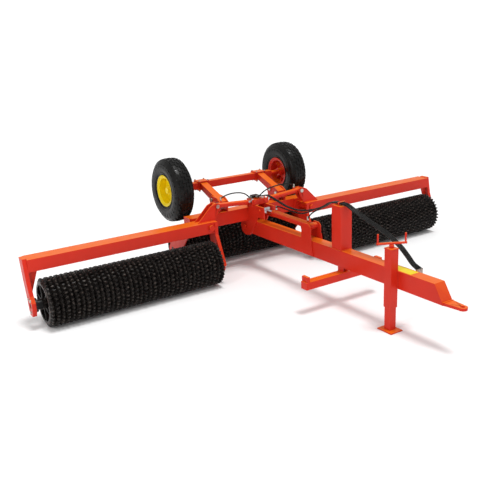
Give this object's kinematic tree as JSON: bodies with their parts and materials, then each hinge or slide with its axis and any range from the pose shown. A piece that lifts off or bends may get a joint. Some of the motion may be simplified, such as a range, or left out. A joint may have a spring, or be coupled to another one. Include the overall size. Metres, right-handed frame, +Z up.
{
  "type": "lawn roller",
  "caption": "Trailed folding ring roller: centre gang and two hinged wing gangs of ribbed rings, tilting drawbar with jack and mast, raised transport wheels.",
  "frame": {"origin": "on the ground in the machine's middle plane, halfway between the drawbar eye and the back of the tyres", "axes": "+Z up, +X to the machine's left side, -Y the way it is towed"},
  "size_m": [6.09, 4.402, 1.4719],
  "materials": {
    "frame_paint": "gloss",
    "rim_paint": "gloss",
    "cast_rings": "semi-gloss bitumen paint",
    "bearing_iron": "satin",
    "shaft_steel": "satin",
    "tyre_rubber": "matte",
    "chrome_rod": "polished",
    "hose_rubber": "satin",
    "brass_fittings": "satin",
    "zinc_steel": "satin"
  },
  "bodies": {
    "frame": {"centre_beam": "frame_paint", "cheeks": "frame_paint", "side_plates": "frame_paint", "wheel_arms": "frame_paint", "frame_bolts": "zinc_steel", "axle_beam": "frame_paint", "axle_clamps": "frame_paint", "stub_axles": "shaft_steel", "centre_arms": "frame_paint", "centre_bearings": "cast_rings", "hinge_plates": "frame_paint", "fold_bracket": "frame_paint", "frame_pins": "frame_paint", "hose_block": "bearing_iron"},
    "gang_centre": {"centre_shaft": "shaft_steel", "centre_rings": "cast_rings"},
    "wing_right": {"wing_beam_r": "frame_paint", "outer_arm_r": "frame_paint", "inner_arm_r": "frame_paint", "bearings_r": "cast_rings", "fold_lug_r": "frame_paint", "fold_pins_r": "zinc_steel"},
    "gang_right": {"shaft_r": "shaft_steel", "rings_r": "cast_rings"},
    "wing_left": {"wing_beam_l": "frame_paint", "outer_arm_l": "frame_paint", "inner_arm_l": "frame_paint", "bearings_l": "cast_rings", "fold_lug_l": "frame_paint", "fold_pins_l": "zinc_steel"},
    "gang_left": {"shaft_l": "shaft_steel", "rings_l": "cast_rings"},
    "fold_rod_right": {"fold_rod_r": "chrome_rod", "hose_jumper_r": "hose_rubber"},
    "fold_barrel_right": {"fold_barrel_r": "frame_paint"},
    "fold_rod_left": {"fold_rod_l": "chrome_rod", "hose_jumper_l": "hose_rubber"},
    "fold_barrel_left": {"fold_barrel_l": "frame_paint"},
    "wheel_right": {"tyre_r": "tyre_rubber", "rim_r": "rim_paint", "hub_r": "frame_paint"},
    "wheel_left": {"tyre_l": "tyre_rubber", "rim_l": "rim_paint", "hub_l": "frame_paint"},
    "drawbar": {"drawbar": "frame_paint", "hitch_plate": "frame_paint", "mast": "frame_paint", "wing_rest": "frame_paint", "tilt_bracket": "frame_paint", "jack_sleeve": "frame_paint", "hose_holders": "frame_paint", "couplers": "brass_fittings", "hose_fold_r": "hose_rubber", "hose_fold_l": "hose_rubber", "hose_tilt_rod": "hose_rubber", "hose_tilt_base": "hose_rubber"},
    "tilt_cylinder": {"tilt_barrel": "frame_paint"},
    "tilt_ram": {"tilt_rod": "chrome_rod"},
    "jack_foot": {"jack_leg": "frame_paint"},
    "jack_screw": {"jack_crank": "frame_paint"}
  },
  "joints": [
    {"name": "gang_centre_turn", "type": "hinge", "parent": "frame", "child": "gang_centre", "pos_m": [0, 1.796, 0.27], "axis": [1, 0, 0], "continuous": true},
    {"name": "wing_right_fold", "type": "hinge", "parent": "frame", "child": "wing_right", "pos_m": [-0.775, 1.126, 0.69], "axis": [0, -1, 0], "range_deg": [-6, 90]},
    {"name": "wing_left_fold", "type": "hinge", "parent": "frame", "child": "wing_left", "pos_m": [0.775, 1.126, 0.69], "axis": [0, 1, 0], "range_deg": [-6, 90]},
    {"name": "gang_right_turn", "type": "hinge", "parent": "wing_right", "child": "gang_right", "pos_m": [-1.85, 0.976, 0.27], "axis": [1, 0, 0], "continuous": true},
    {"name": "gang_left_turn", "type": "hinge", "parent": "wing_left", "child": "gang_left", "pos_m": [1.85, 0.976, 0.27], "axis": [1, 0, 0], "continuous": true},
    {"name": "fold_rod_right_swing", "type": "hinge", "parent": "frame", "child": "fold_rod_right", "pos_m": [-0.08, 1.126, 0.89], "axis": [0, -1, 0], "range_deg": [-1, 9]},
    {"name": "fold_right_extend", "type": "slide", "parent": "fold_rod_right", "child": "fold_barrel_right", "axis": [-0.9975, 0, 0.0706], "range_m": [-0.03, 0.375], "deforming": ["hose_jumper_r"]},
    {"name": "fold_rod_left_swing", "type": "hinge", "parent": "frame", "child": "fold_rod_left", "pos_m": [0.08, 1.126, 0.89], "axis": [0, 1, 0], "range_deg": [-1, 9]},
    {"name": "fold_left_extend", "type": "slide", "parent": "fold_rod_left", "child": "fold_barrel_left", "axis": [0.9975, 0, 0.0706], "range_m": [-0.03, 0.375], "deforming": ["hose_jumper_l"]},
    {"name": "drawbar_tilt", "type": "hinge", "parent": "frame", "child": "drawbar", "pos_m": [0, 1.326, 0.52], "axis": [1, 0, 0], "range_deg": [-5, 88], "deforming": ["hose_fold_r", "hose_fold_l"]},
    {"name": "tilt_cylinder_swing", "type": "hinge", "parent": "drawbar", "child": "tilt_cylinder", "pos_m": [0, 0.046, 0.775], "axis": [1, 0, 0], "range_deg": [-1, 3], "deforming": ["hose_tilt_rod", "hose_tilt_base"]},
    {"name": "tilt_ram_extend", "type": "slide", "parent": "tilt_cylinder", "child": "tilt_ram", "axis": [0, 0.9999, 0.0161], "range_m": [-0.04, 0.62]},
    {"name": "wheel_right_turn", "type": "hinge", "parent": "frame", "child": "wheel_right", "pos_m": [-0.88, 1.791, 1.062], "axis": [1, 0, 0], "continuous": true},
    {"name": "wheel_left_turn", "type": "hinge", "parent": "frame", "child": "wheel_left", "pos_m": [0.88, 1.791, 1.062], "axis": [1, 0, 0], "continuous": true},
    {"name": "jack_leg_slide", "type": "slide", "parent": "drawbar", "child": "jack_foot", "axis": [0, 0, 1], "range_m": [-0.1, 0.22]},
    {"name": "jack_screw_turn", "type": "hinge", "parent": "drawbar", "child": "jack_screw", "pos_m": [-0.1175, -1.364, 0.9], "axis": [0, 0, 1], "range_deg": [-3600, 7920]}
  ],
  "couplings": [
    {"joint": "fold_rod_right_swing", "follows": "wing_right_fold", "ratio": 0.09257},
    {"joint": "fold_right_extend", "follows": "wing_right_fold", "m_per_rad": 0.23631},
    {"joint": "fold_rod_left_swing", "follows": "wing_left_fold", "ratio": 0.09257},
    {"joint": "fold_left_extend", "follows": "wing_left_fold", "m_per_rad": 0.23631},
    {"joint": "tilt_cylinder_swing", "follows": "drawbar_tilt", "ratio": 0.03356},
    {"joint": "tilt_ram_extend", "follows": "drawbar_tilt", "m_per_rad": 0.39783},
    {"joint": "jack_screw_turn", "follows": "jack_leg_slide", "rad_per_m": 628.32}
  ]
}
